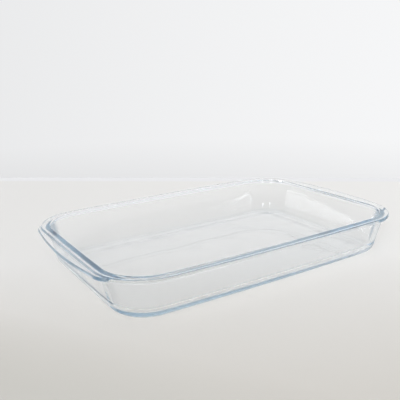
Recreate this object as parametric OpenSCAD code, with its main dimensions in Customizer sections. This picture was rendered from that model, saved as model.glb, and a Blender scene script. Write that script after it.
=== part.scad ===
// Rectangular baking dish, pressed in one piece of clear heat-resistant glass.
// The origin is on the supporting surface, under the middle of the dish.
// X runs along the length, Y across the width and Z up.

/* [Opening] */
// Length of the opening at the inner edge of the rim
opening_length = 361; // [300:1:420]
// Width of the opening at the inner edge of the rim
opening_width = 238; // [200:1:290]
// Corner radius of the opening
corner_radius = 45; // [42:0.5:70]

/* [Depth] */
// Height from the supporting surface to the top of the rim
rim_height = 48; // [42:0.5:58]
// Lean of the walls from upright, in degrees
wall_draft = 14.3; // [8:0.1:16]
// Radius inside, between the floor and the walls
floor_radius = 12; // [8:0.5:22]
// Radius outside, between the base and the walls
heel_radius = 12; // [8:0.5:18]

/* [Glass] */
// Thickness of the walls
wall_thickness = 5.4; // [3.5:0.1:6.5]
// Thickness of the floor over the bearing ring
floor_thickness = 5.5; // [4:0.1:7]

/* [Rim] */
// Width of the rim, from its inner edge to its outer edge
rim_width = 10.2; // [9:0.1:14]
// Thickness of the rim
rim_thickness = 4.4; // [3:0.1:5]
// Radius of the outer edges of the rim and of the handles, above and below
edge_radius = 1.2; // [0.5:0.1:1.4]
// Radius of the rim's inner top edge
lip_radius = 2.4; // [1:0.1:3]
// Radius of the hollow between the rim's underside and the wall
rim_fillet = 1.6; // [0.5:0.1:1.8]

/* [Handles] */
// Reach of each handle beyond the rim
handle_reach = 9.3; // [6:0.1:20]
// Radius of a handle's outer edge in plan
handle_sweep_radius = 500; // [300:5:700]
// Half the width over which a handle keeps that radius
handle_half_width = 80; // [70:0.5:94]
// Radius of the handle's shoulders in plan
shoulder_radius = 28; // [24:0.5:38]
// Thickness of the handles
handle_thickness = 3.8; // [3:0.1:5]
// Drop from the top of the rim to the top of the handles
handle_drop = 1.3; // [0.5:0.1:3]

/* [Base] */
// Width of the bearing ring that the dish stands on
ring_width = 8; // [4:0.5:12]
// Depth of the shallow recess inside the ring
recess_depth = 0.3; // [0.2:0.1:1.5]
// Width of the slope that leads from the ring into the recess
recess_slope = 7; // [2:0.5:8]

/* [Hidden] */
glass_colour = [0.84, 0.91, 0.94, 0.45];
// Steps of a full turn in a drawn mesh, and of a turn as wide as a handle's sweep
turn_steps = 96;
sweep_steps = 480;
$fn = turn_steps;
// Reach of a cut past the surface that it opens
overrun = 1;
// Centre of a corner's curves
corner_x = opening_length / 2 - corner_radius;
corner_y = opening_width / 2 - corner_radius;
// Signs of each corner's place, and the direction in which its quarter turn starts
corner_turns = [[1, 1, 0], [-1, 1, 90], [-1, -1, 180], [1, -1, 270]];
// Shares of a rounding's radius between it and where the leaning wall would meet the level face
lean_in_share = (1 - sin(wall_draft)) / cos(wall_draft);
lean_up_share = 1 - sin(wall_draft);
lean_out_share = cos(wall_draft);
rim_underside = rim_height - rim_thickness;
rim_edge = corner_radius + rim_width;
floor_edge = inner_wall(floor_thickness) - floor_radius * lean_in_share;
base_edge = outer_wall(0) - heel_radius * lean_in_share;
handle_top = rim_height - handle_drop;
handle_underside = handle_top - handle_thickness;
handle_centre = opening_length / 2 + rim_width + handle_reach - handle_sweep_radius;
handle_angle = asin(handle_half_width / handle_sweep_radius);
// A handle is rooted in the middle of the wall
handle_root = outer_wall(handle_underside) - wall_thickness / 2;

// Distance from a corner's centre to the wall's inner face at a height
function inner_wall(z) = corner_radius - (rim_height - z) * tan(wall_draft);

// Distance from a corner's centre to the wall's outer face at a height
function outer_wall(z) = inner_wall(z) + wall_thickness / cos(wall_draft);

// Carries a section, which starts at the corners' centres, once round the dish
module round_dish() {
    for (turn = corner_turns)
        translate([turn[0] * corner_x, turn[1] * corner_y, 0])
            rotate([0, 0, turn[2]])
                rotate_extrude(angle = 90) children();
    for (side = [0:3]) {
        out = side % 2 == 0 ? corner_x : corner_y;
        run = side % 2 == 0 ? corner_y : corner_x;
        rotate([0, 0, 90 * side])
            translate([out, run, 0])
                rotate([90, 0, 0])
                    linear_extrude(height = 2 * run) children();
    }
}

// Carries a section round the dish and fills the middle between two heights
module filled_dish(bottom, top) {
    round_dish() children();
    translate([-corner_x, -corner_y, bottom])
        cube([2 * corner_x, 2 * corner_y, top - bottom]);
}

// Half of a disc, away from the corner's centre
module half_disc(radius) {
    intersection() {
        circle(radius);
        translate([0, -radius]) square([radius, 2 * radius]);
    }
}

// Section of a solid with a leaning wall and a rounding at its foot
module tray_section(foot, level, radius, top_out, top) {
    polygon([
        [0, level],
        [foot, level],
        [foot + radius * lean_out_share, level + radius * lean_up_share],
        [top_out, top],
        [0, top]
    ]);
    translate([foot, level + radius]) half_disc(radius);
}

// Section of the shallow recess under the floor
module recess_section() {
    recess_edge = base_edge - ring_width;
    polygon([
        [0, -overrun],
        [recess_edge, -overrun],
        [recess_edge, 0],
        [recess_edge - recess_slope, recess_depth],
        [0, recess_depth]
    ]);
}

// The two roundings of a flange's outer edge, between its underside and its top
module edge_rounds(edge, underside, top) {
    for (height = [underside + edge_radius, top - edge_radius])
        translate([edge - edge_radius, height]) circle(edge_radius);
}

// Section of the rim, with a rounded inner top edge
module rim_section() {
    lip = corner_radius + lip_radius * lean_in_share;
    polygon([
        [inner_wall(rim_underside), rim_underside],
        [lip - lip_radius * lean_out_share, rim_height - lip_radius * lean_up_share],
        [lip, rim_height],
        [rim_edge - edge_radius, rim_height],
        [rim_edge, rim_height - edge_radius],
        [rim_edge, rim_underside + edge_radius],
        [rim_edge - edge_radius, rim_underside]
    ]);
    translate([lip, rim_height - lip_radius]) circle(lip_radius);
    edge_rounds(rim_edge, rim_underside, rim_height);
}

// Section of the hollow rounding that joins the rim's underside to the wall
module rim_fillet_section() {
    centre = outer_wall(rim_underside) + rim_fillet * lean_in_share;
    root = wall_thickness / 4;
    difference() {
        polygon([
            [outer_wall(rim_underside) - root, rim_underside + root],
            [centre, rim_underside + root],
            [centre, rim_underside],
            [centre - rim_fillet * lean_out_share, rim_underside - rim_fillet * lean_up_share],
            [centre - rim_fillet * lean_out_share - root, rim_underside - rim_fillet * lean_up_share]
        ]);
        translate([centre, rim_underside - rim_fillet]) circle(rim_fillet);
    }
}

// Section of a handle, from a depth inside its edge out to the edge
module handle_section(edge, depth) {
    polygon([
        [edge - depth, handle_underside],
        [edge - edge_radius, handle_underside],
        [edge, handle_underside + edge_radius],
        [edge, handle_top - edge_radius],
        [edge - edge_radius, handle_top],
        [edge - depth, handle_top]
    ]);
    edge_rounds(edge, handle_underside, handle_top);
}

// The crescent at the end of the dish towards X, before the opening is cut from it
module handle() {
    translate([handle_centre, 0, 0]) {
        rotate([0, 0, -handle_angle])
            rotate_extrude(angle = 2 * handle_angle, $fn = sweep_steps)
                handle_section(handle_sweep_radius, shoulder_radius, $fn = turn_steps);
        for (side = [-1, 1])
            rotate([0, 0, side * handle_angle])
                translate([handle_sweep_radius - shoulder_radius, 0, 0])
                    rotate_extrude() handle_section(shoulder_radius, shoulder_radius);
    }
}

// Floor and walls, hollow inside and recessed underneath
module basin() {
    difference() {
        filled_dish(0, rim_underside)
            tray_section(base_edge, 0, heel_radius, outer_wall(rim_underside), rim_underside);
        filled_dish(floor_thickness, rim_height)
            tray_section(floor_edge, floor_thickness, floor_radius, corner_radius, rim_height);
        filled_dish(-overrun, recess_depth) recess_section();
    }
}

module handles() {
    difference() {
        union() {
            handle();
            mirror([1, 0, 0]) handle();
        }
        filled_dish(0, rim_height) square([handle_root, rim_height]);
    }
}

module dish() {
    color(glass_colour) {
        basin();
        round_dish() rim_section();
        round_dish() rim_fillet_section();
        handles();
    }
}

dish();
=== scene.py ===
"""A rectangular baking dish in clear pressed glass, on a pale table.

The dish is one closed mesh. Its cross-section is carried once round a rounded rectangle whose sides bow slightly,
and the rim is then drawn out into a crescent handle at each end. All sizes are in millimetres until a mesh is made.
"""

import logging
import math
from dataclasses import dataclass, field
from enum import Enum

import bmesh
import bpy
from mathutils import Matrix, Vector


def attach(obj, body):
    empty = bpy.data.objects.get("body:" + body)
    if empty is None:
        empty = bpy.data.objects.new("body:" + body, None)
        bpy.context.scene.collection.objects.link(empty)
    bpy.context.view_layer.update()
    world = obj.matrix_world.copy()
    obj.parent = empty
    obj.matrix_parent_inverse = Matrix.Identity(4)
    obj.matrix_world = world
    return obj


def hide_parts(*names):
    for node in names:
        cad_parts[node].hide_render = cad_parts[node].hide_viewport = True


logging.basicConfig(level=logging.INFO, format="%(message)s")
log = logging.getLogger("baking_dish")

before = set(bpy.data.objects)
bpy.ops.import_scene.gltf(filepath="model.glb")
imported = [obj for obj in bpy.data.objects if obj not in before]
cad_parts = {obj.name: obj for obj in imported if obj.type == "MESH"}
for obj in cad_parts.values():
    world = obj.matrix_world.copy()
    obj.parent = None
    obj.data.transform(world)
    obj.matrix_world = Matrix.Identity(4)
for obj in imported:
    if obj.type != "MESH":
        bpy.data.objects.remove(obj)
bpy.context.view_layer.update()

MM = 0.001
# Light runs a long way inside the rim and the floor before it comes out as a blue line
GLASS_BOUNCES = 200
Point = tuple[float, float]
Colour = tuple[float, float, float, float]


class Operation(Enum):
    """Sums that a Math node can do on values."""

    ADD = "ADD"
    SUBTRACT = "SUBTRACT"
    MULTIPLY = "MULTIPLY"
    DIVIDE = "DIVIDE"
    MINIMUM = "MINIMUM"
    MAXIMUM = "MAXIMUM"


class Wire:
    """An output socket that shader maths is written with, as a Python expression."""

    def __init__(self, graph: "Graph", socket: bpy.types.NodeSocket) -> None:
        """Keeps the graph and the socket that the value comes from."""
        self.graph = graph
        self.socket = socket

    def __add__(self, other: "Wire | float") -> "Wire":
        """Sum of two values."""
        return self.graph.maths(Operation.ADD, self, other)

    def __sub__(self, other: "Wire | float") -> "Wire":
        """Difference of two values."""
        return self.graph.maths(Operation.SUBTRACT, self, other)

    def __rsub__(self, other: "Wire | float") -> "Wire":
        """Difference with the number first."""
        return self.graph.maths(Operation.SUBTRACT, other, self)

    def __mul__(self, other: "Wire | float") -> "Wire":
        """Product of two values."""
        return self.graph.maths(Operation.MULTIPLY, self, other)

    def __truediv__(self, other: "Wire | float") -> "Wire":
        """Quotient of two values."""
        return self.graph.maths(Operation.DIVIDE, self, other)

    def __rtruediv__(self, other: "Wire | float") -> "Wire":
        """Quotient with the number first."""
        return self.graph.maths(Operation.DIVIDE, other, self)

    def at_least(self, other: "Wire | float") -> "Wire":
        """The larger of two values."""
        return self.graph.maths(Operation.MAXIMUM, self, other)

    def at_most(self, other: "Wire | float") -> "Wire":
        """The smaller of two values."""
        return self.graph.maths(Operation.MINIMUM, self, other)

    def share(self) -> "Wire":
        """The value, kept between zero and one."""
        return self.at_least(0.0).at_most(1.0)

    __radd__ = __add__
    __rmul__ = __mul__


class Graph:
    """A node tree that is being filled."""

    def __init__(self, tree: bpy.types.NodeTree) -> None:
        """Empties the tree and keeps it."""
        tree.nodes.clear()
        self.tree = tree

    def node(self, kind: str, settings: dict | None = None, sockets: dict | None = None) -> bpy.types.Node:
        """Adds a node.

        Args:
            kind: Blender's name of the node's type.
            settings: values of the node's own properties.
            sockets: numbers, colours, wires or output sockets for the named or numbered inputs.

        Returns:
            The new node.
        """
        made = self.tree.nodes.new(kind)
        for name, value in (settings or {}).items():
            setattr(made, name, value)
        for name, value in (sockets or {}).items():
            source = value.socket if isinstance(value, Wire) else value
            if isinstance(source, bpy.types.NodeSocket):
                self.tree.links.new(source, made.inputs[name])
            else:
                made.inputs[name].default_value = source
        return made

    def maths(self, operation: Operation, first: "Wire | float", second: "Wire | float") -> Wire:
        """Adds a Math node on two values.

        Args:
            operation: what the node does.
            first: a wire or a number.
            second: a wire or a number.

        Returns:
            The node's wire.
        """
        made = self.node("ShaderNodeMath", {"operation": operation.value}, {0: first, 1: second})
        return Wire(self, made.outputs[0])

    def wire(self, node: bpy.types.Node, output: str | int = 0) -> Wire:
        """Returns the wire of a node's named or numbered output."""
        return Wire(self, node.outputs[output])

    def noise(self, place: bpy.types.NodeSocket, scale: float, detail: float, roughness: float) -> Wire:
        """Adds a noise pattern.

        Args:
            place: the place that the pattern is read at.
            scale: how many blotches there are to a metre.
            detail: how many finer patterns are laid over the first.
            roughness: how strong the finer patterns are.

        Returns:
            A wire from zero to one.
        """
        made = self.node("ShaderNodeTexNoise", {"noise_dimensions": "3D"},
                         {"Vector": place, "Scale": scale, "Detail": detail, "Roughness": roughness})
        return self.wire(made, "Fac")

    def dot(self, first: bpy.types.NodeSocket, second: Vector) -> Wire:
        """Adds a dot product of a vector output with a fixed direction and returns its wire."""
        made = self.node("ShaderNodeVectorMath", {"operation": "DOT_PRODUCT"}, {0: first, 1: second})
        return self.wire(made, "Value")

    def parts(self, vector: bpy.types.NodeSocket) -> tuple[Wire, Wire, Wire]:
        """Splits a vector output into its X, Y and Z."""
        made = self.node("ShaderNodeSeparateXYZ", None, {"Vector": vector})
        return self.wire(made, "X"), self.wire(made, "Y"), self.wire(made, "Z")

    def mix_colours(self, share: Wire, first: Colour | bpy.types.NodeSocket,
                    second: Colour | bpy.types.NodeSocket) -> bpy.types.NodeSocket:
        """Adds a colour mix.

        Args:
            share: how much of the second colour there is, from zero to one.
            first: a colour or a colour output.
            second: a colour or a colour output.

        Returns:
            The mixed colour's socket.
        """
        made = self.node("ShaderNodeMix", {"data_type": "RGBA"}, {"Factor": share, 6: first, 7: second})
        return made.outputs[2]


@dataclass(frozen=True)
class GlassFinish:
    """Clear fire-polished glass, faintly blue where light goes a long way through it.

    Its faces have long shallow ripples from the mould and a breath of film, and the walls of its corners carry a
    painted shade of deeper blue where they are seen edge on, which stands in for dark surroundings seen through them.
    """

    refraction: float = 1.473
    roughness: float = 0.0
    tint: Colour = (0.630, 0.745, 0.815, 1.0)
    depth_of_tint: float = 8.0
    ripple_depth: float = 0.0006
    ripple_scale: float = 16.0
    fine_ripple_scale: float = 64.0
    fine_ripple_share: float = 0.12
    clean: Colour = (1.0, 1.0, 1.0, 1.0)
    film: Colour = (0.985, 0.99, 0.995, 1.0)
    film_scale: float = 60.0
    # Painted shade: a deeper blue laid into the glass's colour where the corner walls are seen edge on, standing in
    # for dark surroundings refracted there.
    painted_edge_shade: Colour = (0.08, 0.19, 0.32, 1.0)
    corner_foot: float = 0.004
    corner_foot_blend: float = 1.0 / 80.0
    steepest_rise: float = 0.40
    rise_blend: float = 0.25
    graze_start: float = 0.42
    graze_width: float = 0.20

    def material(self, name: str) -> bpy.types.Material:
        """Makes the material.

        Args:
            name: the material's name.

        Returns:
            The finished material.
        """
        made = bpy.data.materials.new(name)
        made.use_nodes = True
        graph = Graph(made.node_tree)
        place = graph.node("ShaderNodeTexCoord").outputs["Object"]
        broad = graph.noise(place, self.ripple_scale, 1.0, 0.4)
        fine = graph.noise(place, self.fine_ripple_scale, 2.0, 0.5)
        ripples = graph.node("ShaderNodeBump", None, {
            "Strength": 1.0, "Distance": self.ripple_depth, "Height": broad + fine * self.fine_ripple_share})
        surface = graph.mix_colours(graph.noise(place, self.film_scale, 4.0, 0.6), self.clean, self.film)
        # Painted shade on the edge-on corner walls, mixed into the glass's colour.
        surface = graph.mix_colours(self._painted_edge_shade_share(graph, place), surface, self.painted_edge_shade)
        glass = graph.node("ShaderNodeBsdfPrincipled", None, {
            "Base Color": surface, "Roughness": self.roughness, "IOR": self.refraction, "Transmission Weight": 1.0,
            "Normal": ripples.outputs["Normal"]})
        body = graph.node("ShaderNodeVolumeAbsorption", None, {"Color": self.tint, "Density": self.depth_of_tint})
        graph.node("ShaderNodeOutputMaterial", None, {"Surface": glass.outputs[0], "Volume": body.outputs[0]})
        return made

    def _painted_edge_shade_share(self, graph: Graph, place: bpy.types.NodeSocket) -> Wire:
        """Share of the painted shade, a deeper blue standing in for dark surroundings seen through the glass, that the
        corners' upright walls show where they are seen edge on.

        It is full halfway round a corner and fades to nothing on the straight walls, the floor and the rim.

        Args:
            graph: the material's graph.
            place: the place on the dish.

        Returns:
            A wire from zero to one.
        """
        height = graph.parts(place)[2]
        raised = ((height - self.corner_foot) / self.corner_foot_blend).share()
        end_on, side_on, rise = graph.parts(graph.node("ShaderNodeNewGeometry").outputs["Normal"])
        halfway_round = end_on * end_on * side_on * side_on * 4.0
        upright = ((self.steepest_rise - rise * rise) / self.rise_blend).share()
        facing = graph.wire(graph.node("ShaderNodeLayerWeight", None, {"Blend": 0.5}), "Facing")
        graze = ((facing - self.graze_start) / self.graze_width).share()
        return graze * halfway_round * upright * raised


@dataclass(frozen=True)
class TableWithPaintedLight:
    """A pale matt table top with painted light: it is painted lighter to the right, painted shade darkens it towards
    the front left, and a painted highlight runs along its far edge.

    Starts, ends and widths are in metres from the dish's middle, along the camera's heading and across it.
    """

    # Left and right are the table's pale tone painted dimmer and lighter, as though lit from the right; front and
    # corner are painted shade; edge is a painted highlight.
    left: Colour = (0.790, 0.781, 0.762, 1.0)
    right: Colour = (0.848, 0.838, 0.817, 1.0)
    front: Colour = (0.650, 0.626, 0.584, 1.0)
    corner: Colour = (0.600, 0.585, 0.545, 1.0)
    edge: Colour = (0.825, 0.825, 0.835, 1.0)
    side_rate: float = 1.4
    side_middle: float = 0.45
    front_start: float = 0.02
    front_end: float = 0.30
    corner_start: float = 0.25
    corner_end: float = 0.35
    corner_lean: float = 0.5
    edge_width: float = 0.035
    edge_blend: float = 0.012
    mottle_scale: float = 9.0
    mottle_depth: float = 0.10
    grain_scale: float = 420.0
    grain_depth: float = 0.0004
    grain_strength: float = 0.25
    roughness: float = 0.75
    gloss: float = 0.25

    def material(self, name: str, away: Vector, square: Vector, far_edge: float) -> bpy.types.Material:
        """Makes the material.

        Args:
            name: the material's name.
            away: the level direction in which the camera looks.
            square: the level direction square to the table's far edge.
            far_edge: how far away that edge is.

        Returns:
            The finished material.
        """
        made = bpy.data.materials.new(name)
        made.use_nodes = True
        graph = Graph(made.node_tree)
        place = graph.node("ShaderNodeTexCoord").outputs["Object"]
        along = graph.dot(place, away)
        across = graph.dot(place, Vector((away.y, -away.x, 0.0)))
        mottle = graph.noise(place, self.mottle_scale, 4.0, 0.55) * self.mottle_depth - self.mottle_depth / 2
        # Painted light: the table is painted lighter towards the right.
        side = (across * self.side_rate + self.side_middle + mottle).share()
        # Painted shade towards the front, and deeper painted shade at the front left corner.
        front = (0.0 - along - self.front_start) / (self.front_end - self.front_start) + mottle
        corner = 0.0 - along - across * self.corner_lean - self.corner_start
        corner = corner / (self.corner_end - self.corner_start) + mottle
        plain = graph.mix_colours(side, self.left, self.right)
        plain = graph.mix_colours(front.share(), plain, self.front)
        plain = graph.mix_colours(corner.share(), plain, self.corner)
        # Painted highlight along the table's far edge.
        painted_edge_highlight = ((graph.dot(place, square) - far_edge + self.edge_width) / self.edge_blend).share()
        plain = graph.mix_colours(painted_edge_highlight, plain, self.edge)
        grain = graph.noise(place, self.grain_scale, 3.0, 0.6)
        bump = graph.node("ShaderNodeBump", None, {
            "Strength": self.grain_strength, "Distance": self.grain_depth, "Height": grain})
        matt = graph.node("ShaderNodeBsdfPrincipled", None, {
            "Base Color": plain, "Roughness": self.roughness, "Specular IOR Level": self.gloss,
            "Normal": bump.outputs["Normal"]})
        graph.node("ShaderNodeOutputMaterial", None, {"Surface": matt.outputs[0]})
        return made


@dataclass
class Arc:
    """One arc of the dish's outline in plan, carried round the Z axis of its centre."""

    centre: Point
    radius: float
    start: float
    sweep: float
    steps: int


@dataclass
class Outline:
    """The inner edge of the rim in plan: a rounded rectangle whose sides and ends bow slightly outwards.

    Each corner's arc touches both of its neighbours, so its centre follows from theirs.
    """

    half_length: float = 180.5
    half_width: float = 119.0
    corner_radius: float = 45.0
    side_bow: float = 4.0
    end_bow: float = 1.0
    side_steps: int = 28
    end_steps: int = 56
    corner_steps: int = 36

    def __post_init__(self) -> None:
        """Works out the arcs' radii and centres."""
        self.side_radius = self.half_length ** 2 / (2 * self.side_bow)
        self.end_radius = self.half_width ** 2 / (2 * self.end_bow)
        side_centre = Vector((0.0, self.half_width - self.side_radius))
        end_centre = Vector((self.half_length - self.end_radius, 0.0))
        side_reach = self.side_radius - self.corner_radius
        end_reach = self.end_radius - self.corner_radius
        gap = end_centre - side_centre
        along = (side_reach ** 2 - end_reach ** 2 + gap.length_squared) / (2 * gap.length)
        across = math.sqrt(side_reach ** 2 - along ** 2)
        unit = gap.normalized()
        middle = side_centre + unit * along
        corner = middle + Vector((-unit.y, unit.x)) * across
        if corner.x < 0 or corner.y < 0:
            corner = middle - Vector((-unit.y, unit.x)) * across
        self.corner = (corner.x, corner.y)
        self.side_centre = (side_centre.x, side_centre.y)
        self.end_centre = (end_centre.x, end_centre.y)
        self.side_angle = math.atan2(corner.x, corner.y - side_centre.y)
        self.end_angle = math.atan2(corner.y, corner.x - end_centre.x)

    def arcs(self) -> list[Arc]:
        """Lists the arcs that the section is carried along.

        Returns:
            The eight arcs, anticlockwise from the front half of the end towards X.
        """
        quarter = math.pi / 2
        corner_sweep = quarter - self.side_angle - self.end_angle
        found: list[Arc] = []
        for turn in range(4):
            is_end = turn % 2 == 0
            flip = 1.0 if turn < 2 else -1.0
            half = self.end_angle if is_end else self.side_angle
            radius = self.end_radius if is_end else self.side_radius
            centre = (flip * self.end_centre[0], 0.0) if is_end else (0.0, flip * self.side_centre[1])
            steps = self.end_steps if is_end else self.side_steps
            found.append(Arc(centre, radius, turn * quarter - half, 2 * half, steps))
            sign_x = 1.0 if turn in (0, 3) else -1.0
            sign_y = 1.0 if turn in (0, 1) else -1.0
            centre = (sign_x * self.corner[0], sign_y * self.corner[1])
            found.append(Arc(centre, self.corner_radius, turn * quarter + half, corner_sweep, self.corner_steps))
        return found

    def station(self, x: float, y: float) -> tuple[Point, Point, float]:
        """Finds the outline's nearest place for a point in the quarter where X and Y are positive.

        Args:
            x: the point's X.
            y: the point's Y.

        Returns:
            The arc's centre, the unit direction from it to the point, and the arc's radius.
        """
        turn = math.atan2(y - self.corner[1], x - self.corner[0])
        if self.end_angle <= turn <= math.pi / 2 - self.side_angle:
            centre, radius = self.corner, self.corner_radius
        elif math.atan2(y, x - self.end_centre[0]) < self.end_angle:
            centre, radius = self.end_centre, self.end_radius
        else:
            centre, radius = self.side_centre, self.side_radius
        away = Vector((x - centre[0], y - centre[1])).normalized()
        return centre, (away.x, away.y), radius


@dataclass
class Crescent:
    """Plan outline of a handle: a wide arc that ends in two small shoulder arcs."""

    tip: float = 200.0
    sweep_radius: float = 500.0
    half_width: float = 80.0
    shoulder_radius: float = 28.0

    def __post_init__(self) -> None:
        """Works out the arcs' centres."""
        self.turn = math.asin(self.half_width / self.sweep_radius)
        inner = self.sweep_radius - self.shoulder_radius
        self.middle = Vector((self.tip - self.sweep_radius, 0.0))
        self.shoulder = self.middle + Vector((math.cos(self.turn), math.sin(self.turn))) * inner

    def reach(self, start: Vector, away: Vector) -> float:
        """Distance from a place inside to the handle's edge, in the quarter where X and Y are positive.

        Args:
            start: a place in plan.
            away: the unit direction in which to look.

        Returns:
            The distance, or minus one where the line misses the handle.
        """
        wide = self._leave(start, away, self.middle, self.sweep_radius)
        hit = start + away * wide - self.middle
        if math.atan2(hit.y, hit.x) <= self.turn:
            return wide
        return self._leave(start, away, self.shoulder, self.shoulder_radius)

    @staticmethod
    def _leave(start: Vector, away: Vector, centre: Vector, radius: float) -> float:
        """Looks along a line for the place where it leaves a circle.

        Args:
            start: where the line starts.
            away: the line's unit direction.
            centre: the circle's centre.
            radius: the circle's radius.

        Returns:
            The distance, or minus one where the line misses the circle.
        """
        gap = start - centre
        along = gap.dot(away)
        rest = along * along - gap.length_squared + radius * radius
        return -along + math.sqrt(rest) if rest > 0 else -1.0


@dataclass
class DishSection:
    """Cross-section of the dish: distances out from the rim's inner edge, and heights above the table.

    The section stops at its inner end, where the flat floor begins. The edges of the rim and of a handle are looked
    for from a place inside the rim, its root, in many directions, and then shared out among the rim's rows.
    """

    rim_height: float = 48.0
    wall_draft: float = math.radians(14.3)
    floor_radius: float = 12.0
    heel_radius: float = 12.0
    wall_thickness: float = 5.4
    floor_thickness: float = 5.5
    rim_width: float = 10.2
    rim_thickness: float = 4.4
    lip_radius: float = 2.4
    edge_radius: float = 1.2
    rim_fillet: float = 1.6
    handle_thickness: float = 3.8
    handle_drop: float = 1.3
    handle_blend: float = 0.9
    ring_width: float = 8.0
    recess_depth: float = 0.3
    recess_slope: float = 16.0
    inner_end: float = -41.0
    rim_root: float = 6.0
    rim_root_share: float = 0.6
    rim_rows: int = 60
    rim_looks: int = 720
    fillet_steps: int = 7
    floor_steps: int = 18
    heel_steps: int = 16
    lip_steps: int = 10
    wall_steps: int = 10
    top_steps: int = 4
    flat_steps: int = 3
    slope_steps: int = 8

    def lean(self) -> float:
        """Share of a rounding's radius between its level foot and the place where the wall would meet the level."""
        return (1 - math.sin(self.wall_draft)) / math.cos(self.wall_draft)

    def inner_wall(self, z: float) -> float:
        """Place of the wall's inner face at a height."""
        return -(self.rim_height - z) * math.tan(self.wall_draft)

    def outer_wall(self, z: float) -> float:
        """Place of the wall's outer face at a height."""
        return self.inner_wall(z) + self.wall_thickness / math.cos(self.wall_draft)

    @staticmethod
    def _arc(centre: Point, radius: float, start: float, end: float, steps: int) -> list[Point]:
        """Points of an arc, from one angle to another, both ends included."""
        turns = [start + (end - start) * step / steps for step in range(steps + 1)]
        return [(centre[0] + radius * math.cos(turn), centre[1] + radius * math.sin(turn)) for turn in turns]

    @staticmethod
    def _line(first: Point, last: Point, steps: int) -> list[Point]:
        """Points of a line, both ends included."""
        shares = [step / steps for step in range(steps + 1)]
        return [(first[0] + (last[0] - first[0]) * share, first[1] + (last[1] - first[1]) * share) for share in shares]

    @staticmethod
    def _exit(start: Point, turn: float, tip: float, low: float, high: float, radius: float) -> float:
        """Looks along a line in the section for the place where it leaves a flange with rounded edges.

        Args:
            start: where the line starts, between the flange's faces.
            turn: the line's angle, from outwards towards up.
            tip: how far out the flange's edge is.
            low: height of the flange's underside.
            high: height of its top.
            radius: radius of its two outer edges.

        Returns:
            The distance, or zero where the line starts beyond the flange.
        """
        rise, run = math.sin(turn), math.cos(turn)
        if start[0] >= tip:
            return 0.0
        if abs(rise) > 1e-9:
            flat = ((high if rise > 0 else low) - start[1]) / rise
            if start[0] + flat * run <= tip - radius:
                return flat
        face = (tip - start[0]) / max(run, 1e-9)
        if low + radius <= start[1] + face * rise <= high - radius:
            return face
        gap = (start[0] - tip + radius, start[1] - (high - radius if rise > 0 else low + radius))
        along = gap[0] * run + gap[1] * rise
        rest = along * along - gap[0] ** 2 - gap[1] ** 2 + radius * radius
        return max(0.0, -along + math.sqrt(rest)) if rest > 0 else 0.0

    def rim_edge(self, reach: float) -> list[Point]:
        """Edge of the rim and of the handle under it, from the rim's flat top round to its underside.

        Args:
            reach: how far out the handle's edge is from the rim's inner edge, or less than the rim's width where
                there is no handle.

        Returns:
            As many points as the section has rim rows, evenly spaced.
        """
        start = (self.rim_root, self.rim_height - self.rim_thickness * self.rim_root_share)
        rim_low, handle_high = self.rim_height - self.rim_thickness, self.rim_height - self.handle_drop
        handle_low = handle_high - self.handle_thickness
        dense: list[Point] = []
        for step in range(self.rim_looks + 1):
            turn = math.pi / 2 - math.pi * step / self.rim_looks
            rim = self._exit(start, turn, self.rim_width, rim_low, self.rim_height, self.edge_radius)
            grip = self._exit(start, turn, reach, handle_low, handle_high, self.edge_radius)
            near = max(0.0, self.handle_blend - abs(rim - grip))
            far = max(rim, grip) + near * near / (4 * self.handle_blend)
            dense.append((start[0] + far * math.cos(turn), start[1] + far * math.sin(turn)))
        lengths = [0.0]
        for first, last in zip(dense, dense[1:]):
            lengths.append(lengths[-1] + math.dist(first, last))
        points: list[Point] = []
        index = 0
        for row in range(self.rim_rows):
            goal = lengths[-1] * row / (self.rim_rows - 1)
            while index < len(dense) - 2 and lengths[index + 1] < goal:
                index += 1
            share = (goal - lengths[index]) / max(1e-9, lengths[index + 1] - lengths[index])
            first, last = dense[index], dense[index + 1]
            points.append((first[0] + (last[0] - first[0]) * share, first[1] + (last[1] - first[1]) * share))
        return points

    def underside_fillet(self, underside: float) -> list[Point]:
        """The hollow rounding between the wall and the underside of the rim or handle, at its height."""
        centre = (self.outer_wall(underside) + self.rim_fillet * self.lean(), underside - self.rim_fillet)
        return self._arc(centre, self.rim_fillet, math.pi / 2, math.pi - self.wall_draft, self.fillet_steps)

    def inside(self) -> list[Point]:
        """Draws what faces up and inwards.

        Returns:
            Points of the floor, the floor rounding, the wall, the lip and the rim's flat top.
        """
        foot = self.inner_wall(self.floor_thickness) - self.floor_radius * self.lean()
        rounding = self._arc((foot, self.floor_thickness + self.floor_radius), self.floor_radius,
                             -math.pi / 2, -self.wall_draft, self.floor_steps)
        lip = (self.lip_radius * self.lean(), self.rim_height - self.lip_radius)
        edge = self._arc(lip, self.lip_radius, math.pi - self.wall_draft, math.pi / 2, self.lip_steps)
        return (self._line((self.inner_end, self.floor_thickness), rounding[0], self.flat_steps)[:-1] + rounding
                + self._line(rounding[-1], edge[0], self.wall_steps)[1:-1] + edge
                + self._line(edge[-1], (self.rim_root, self.rim_height), self.top_steps)[1:-1])

    def outside(self) -> list[Point]:
        """Draws what faces outwards and down, below the rim.

        Returns:
            Points of the wall, the heel, the bearing ring and the shallow recess under the floor.
        """
        top = self.underside_fillet(self.rim_height - self.rim_thickness)[-1]
        foot = self.outer_wall(0.0) - self.heel_radius * self.lean()
        heel = self._arc((foot, self.heel_radius), self.heel_radius, -self.wall_draft, -math.pi / 2, self.heel_steps)
        brink = foot - self.ring_width
        shares = [step / self.slope_steps for step in range(1, self.slope_steps + 1)]
        slope = [(brink - self.recess_slope * share, self.recess_depth * share * share * (3 - 2 * share))
                 for share in shares]
        return (self._line(top, heel[0], self.wall_steps)[1:-1] + heel
                + self._line(heel[-1], (brink, 0.0), self.flat_steps)[1:] + slope)

    def rows(self, reach: float) -> list[Point]:
        """The whole section at a place where the handle reaches so far out."""
        edge = self.rim_edge(reach)
        return self.inside() + edge + self.underside_fillet(edge[-1][1]) + self.outside()


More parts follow.
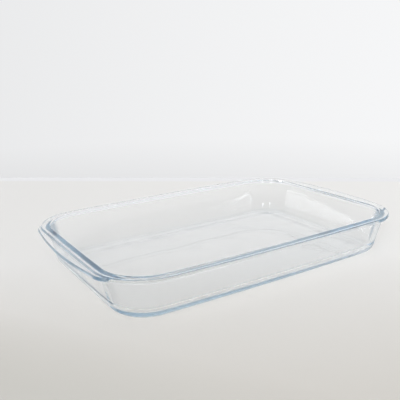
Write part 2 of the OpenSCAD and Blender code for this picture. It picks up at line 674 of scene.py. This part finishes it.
@dataclass
class BakingDish:
    """The whole dish as one closed mesh of glass."""

    name: str = "clear_glass_dish"
    outline: Outline = field(default_factory=Outline)
    section: DishSection = field(default_factory=DishSection)
    handle: Crescent = field(default_factory=Crescent)
    finish: GlassFinish = field(default_factory=GlassFinish)
    merge_distance: float = 0.02

    def build(self) -> bpy.types.Object:
        """Builds the dish, dresses it and puts it in the scene.

        Returns:
            The dish's object.
        """
        bm = bmesh.new()
        row_of = bm.verts.layers.int.new("row")
        self._carry_section(bm, row_of)
        self._draw_out_handles(bm, row_of)
        self._close_floor(bm)
        bmesh.ops.recalc_face_normals(bm, faces=bm.faces)
        for face in bm.faces:
            face.smooth = True
        mesh = bpy.data.meshes.new(self.name)
        bm.to_mesh(mesh)
        bm.free()
        dish = bpy.data.objects.new(self.name, mesh)
        bpy.context.scene.collection.objects.link(dish)
        mesh.materials.append(self.finish.material("clear_glass"))
        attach(dish, "root")
        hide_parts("dish")
        return dish

    def _carry_section(self, bm: bmesh.types.BMesh, row_of: bmesh.types.BMLayerItem) -> None:
        """Draws the section at the first arc's start and spins it along all eight arcs.

        Args:
            bm: the mesh to fill.
            row_of: the layer that keeps each point's row in the section.
        """
        arcs = self.outline.arcs()
        first = arcs[0]
        away = (math.cos(first.start), math.sin(first.start))
        line: list[bmesh.types.BMVert] = []
        for index, (out, height) in enumerate(self.section.rows(0.0)):
            span = first.radius + out
            x, y = first.centre[0] + away[0] * span, first.centre[1] + away[1] * span
            vert = bm.verts.new((x * MM, y * MM, height * MM))
            vert[row_of] = index
            line.append(vert)
        geom: list = list(line) + [bm.edges.new(pair) for pair in zip(line, line[1:])]
        for arc in arcs:
            turned = bmesh.ops.spin(bm, geom=geom, cent=(arc.centre[0] * MM, arc.centre[1] * MM, 0.0),
                                    axis=(0.0, 0.0, 1.0), angle=arc.sweep, steps=arc.steps,
                                    use_merge=False, use_duplicate=False)
            geom = turned["geom_last"]
        bmesh.ops.remove_doubles(bm, verts=bm.verts, dist=self.merge_distance * MM)

    def _draw_out_handles(self, bm: bmesh.types.BMesh, row_of: bmesh.types.BMLayerItem) -> None:
        """Moves the rim's rows out to the handles' edges at both ends.

        Args:
            bm: the mesh to shape.
            row_of: the layer that keeps each point's row in the section.
        """
        start = len(self.section.inside())
        count = self.section.rim_rows + self.section.fillet_steps + 1
        known: dict[tuple[int, int], list[Point]] = {}
        for vert in bm.verts:
            row = vert[row_of]
            if not start <= row < start + count:
                continue
            sign_x, sign_y = math.copysign(1.0, vert.co.x), math.copysign(1.0, vert.co.y)
            centre, away, radius = self.outline.station(abs(vert.co.x) / MM, abs(vert.co.y) / MM)
            key = (round(away[0] * 1e5), round(away[1] * 1e5))
            if key not in known:
                reach = self.handle.reach(Vector(centre), Vector(away)) - radius
                edge = self.section.rim_edge(reach)
                known[key] = edge + self.section.underside_fillet(edge[-1][1])
            out, height = known[key][row - start]
            vert.co = (sign_x * (centre[0] + away[0] * (radius + out)) * MM,
                       sign_y * (centre[1] + away[1] * (radius + out)) * MM, height * MM)

    def _close_floor(self, bm: bmesh.types.BMesh) -> None:
        """Closes the floor's upper face and the recess under it.

        Args:
            bm: the mesh to close.
        """
        middle = self.section.floor_thickness / 2 * MM
        open_edges = [edge for edge in bm.edges if edge.is_boundary]
        for above in (True, False):
            loop = [edge for edge in open_edges if (edge.verts[0].co.z > middle) == above]
            bmesh.ops.edgeloop_fill(bm, edges=loop)


@dataclass
class PhotoCamera:
    """The camera at the photograph's place, from a fit of the dish's lines. Its place is in metres."""

    place: tuple[float, float, float] = (-0.35862, -0.52539, 0.24423)
    yaw: float = 0.5664
    pitch: float = 0.2710
    roll: float = 0.0231
    focal_share: float = 551.48 / 400.0
    sensor_width: float = 36.0
    nearest: float = 0.01

    def heading(self) -> Vector:
        """The level direction in which the camera looks."""
        return Vector((math.sin(self.yaw), math.cos(self.yaw), 0.0))

    def build(self) -> bpy.types.Object:
        """Makes the camera and makes it the scene's own.

        Returns:
            The camera's object.
        """
        data = bpy.data.cameras.new("photo_camera")
        data.sensor_width = self.sensor_width
        data.lens = self.sensor_width * self.focal_share
        data.clip_start = self.nearest
        camera = bpy.data.objects.new("photo_camera", data)
        turn = (Matrix.Rotation(-self.yaw, 4, "Z") @ Matrix.Rotation(math.pi / 2 - self.pitch, 4, "X")
                @ Matrix.Rotation(-self.roll, 4, "Z"))
        camera.matrix_world = Matrix.Translation(self.place) @ turn
        bpy.context.scene.collection.objects.link(camera)
        bpy.context.scene.camera = camera
        return camera


@dataclass
class Studio:
    """The table, and pale surroundings with two lamps behind the camera.

    The table's sizes are in metres. A lamp's direction is given to the right of, along and above the camera's level
    heading, and its half width and half height are sines of angles.
    """

    camera: PhotoCamera
    painted_light_table: TableWithPaintedLight = field(default_factory=TableWithPaintedLight)
    plain: float = 0.80
    brighter_away: float = 0.09
    brighter_right: float = 0.14
    brighter_up: float = 0.09
    up_start: float = 0.10
    up_away_end: float = 0.75
    low_start: float = -0.16
    darker_low: float = 1.1
    pale: Colour = (0.985, 0.99, 1.0, 1.0)
    lamps: tuple[tuple[float, float, float], ...] = ((0.165, -0.840, 0.510), (-0.335, -0.815, 0.475))
    lamp_strength: float = 14.0
    lamp_width: float = 0.08
    lamp_height: float = 0.19
    lamp_sharpness: float = 4.0
    lamp_side_rate: float = 9.0
    table_half: float = 2.0
    table_drop: float = 0.0001
    far_edge: float = 0.40
    edge_turn: float = math.radians(-6.0)

    def build(self) -> None:
        """Builds the table and the surroundings."""
        self._table()
        self._surroundings()

    def _table(self) -> None:
        """Makes the table top, whose far edge lies a little way behind the dish."""
        turn = self.edge_turn - self.camera.yaw
        bm = bmesh.new()
        bmesh.ops.create_grid(bm, x_segments=1, y_segments=1, size=self.table_half)
        bmesh.ops.translate(bm, verts=bm.verts, vec=(0.0, self.far_edge - self.table_half, -self.table_drop))
        bmesh.ops.rotate(bm, verts=bm.verts, cent=(0.0, 0.0, 0.0), matrix=Matrix.Rotation(turn, 3, "Z"))
        mesh = bpy.data.meshes.new("table")
        bm.to_mesh(mesh)
        bm.free()
        table = bpy.data.objects.new("table", mesh)
        bpy.context.scene.collection.objects.link(table)
        square = Vector((-math.sin(turn), math.cos(turn), 0.0))
        dressed = self.painted_light_table.material("pale_table_painted_light", self.camera.heading(), square, self.far_edge)
        mesh.materials.append(dressed)

    def _surroundings(self) -> None:
        """Makes soft surroundings, brighter to the right and above the camera, with two upright lamps.

        They darken below the table's level, so that the glass gathers no light from under the table.
        """
        world = bpy.data.worlds.new("soft_surroundings")
        bpy.context.scene.world = world
        world.use_nodes = True
        graph = Graph(world.node_tree)
        away = self.camera.heading()
        right = Vector((away.y, -away.x, 0.0))
        lean = away * self.brighter_away + right * self.brighter_right
        place = graph.node("ShaderNodeTexCoord").outputs["Generated"]
        back = graph.dot(place, away)
        height = graph.parts(place)[2]
        above = (height - self.up_start).at_least(0.0) * (self.up_away_end - back).share()
        below = (height - self.low_start).at_most(0.0)
        level = graph.dot(place, lean) + self.plain + above * self.brighter_up + below * self.darker_low
        for across, along, up in self.lamps:
            towards = (right * across + away * along + Vector((0.0, 0.0, up))).normalized()
            level = level + self._lamp(graph, place, towards) * self.lamp_strength
        sky = graph.node("ShaderNodeBackground", None, {"Color": self.pale, "Strength": level})
        graph.node("ShaderNodeOutputWorld", None, {"Surface": sky.outputs[0]})

    def _lamp(self, graph: Graph, place: bpy.types.NodeSocket, towards: Vector) -> Wire:
        """Draws an upright oval lamp in the surroundings.

        Args:
            graph: the world's graph.
            place: the direction that is looked in.
            towards: the direction of the lamp's middle.

        Returns:
            A wire that is one in the lamp and zero outside it.
        """
        side = towards.cross(Vector((0.0, 0.0, 1.0))).normalized()
        across = graph.dot(place, side) / self.lamp_width
        along = graph.dot(place, side.cross(towards)) / self.lamp_height
        oval = ((1.0 - across * across - along * along) * self.lamp_sharpness).share()
        lamp_side = (graph.dot(place, towards) * self.lamp_side_rate).share()
        return oval * lamp_side


def main() -> None:
    """Builds the dish and its studio, and reports the dish's face count."""
    scene = bpy.context.scene
    scene.view_settings.view_transform = "Standard"
    scene.cycles.max_bounces = GLASS_BOUNCES
    scene.cycles.glossy_bounces = GLASS_BOUNCES
    scene.cycles.transmission_bounces = GLASS_BOUNCES
    scene.cycles.blur_glossy = 0.0
    camera = PhotoCamera()
    camera.build()
    dish = BakingDish().build()
    log.info("%s: %d faces", dish.name, len(dish.data.polygons))
    Studio(camera).build()


if __name__ == "__main__":
    main()
